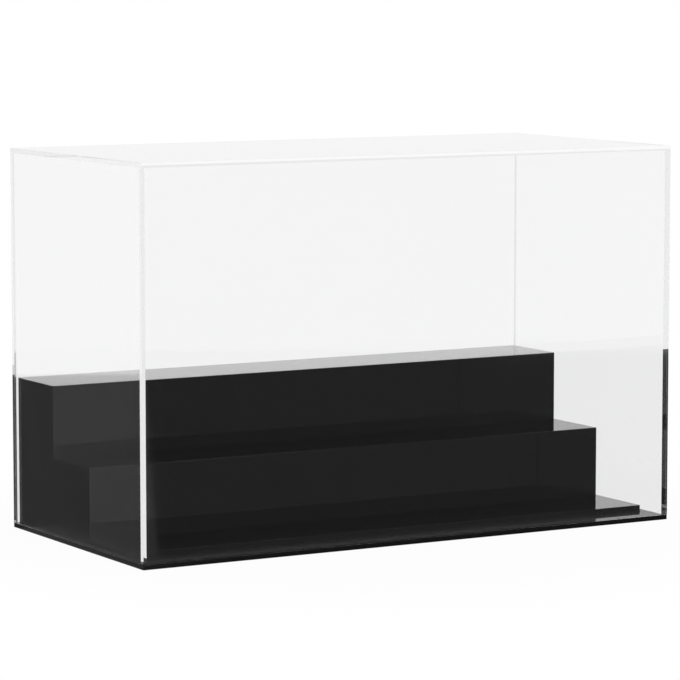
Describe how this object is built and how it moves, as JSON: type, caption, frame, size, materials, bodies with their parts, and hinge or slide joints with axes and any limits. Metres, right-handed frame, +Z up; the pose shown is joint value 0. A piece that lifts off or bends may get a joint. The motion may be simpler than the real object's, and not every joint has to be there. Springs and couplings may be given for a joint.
{
  "type": "acrylic display case",
  "caption": "Clear rectangular lift-off cover over a loose black stepped stand on a flat black base plate, for showing small collectables free of dust.",
  "frame": {"origin": "centre of the base plate's underside", "axes": "+Z up, front towards -Y, +X to the right as seen from the front"},
  "size_m": [0.36, 0.174, 0.23],
  "materials": {
    "clear_acrylic": "polished",
    "black_acrylic": "polished"
  },
  "bodies": {
    "base": {"base_plate": "black_acrylic"},
    "cover": {"front_panel": "clear_acrylic", "back_panel": "clear_acrylic", "left_panel": "clear_acrylic", "right_panel": "clear_acrylic", "top_panel": "clear_acrylic"},
    "stand": {"stand_floor": "black_acrylic", "lower_riser": "black_acrylic", "lower_tread": "black_acrylic", "upper_riser": "black_acrylic", "upper_tread": "black_acrylic", "left_cheek": "black_acrylic", "right_cheek": "black_acrylic", "stand_back": "black_acrylic"}
  },
  "joints": [
    {"name": "cover_lift", "type": "slide", "parent": "base", "child": "cover", "axis": [0, 0, 1], "range_m": [0, 0.24]},
    {"name": "stand_lift", "type": "slide", "parent": "base", "child": "stand", "axis": [0, 0, 1], "range_m": [0, 0.13]}
  ]
}
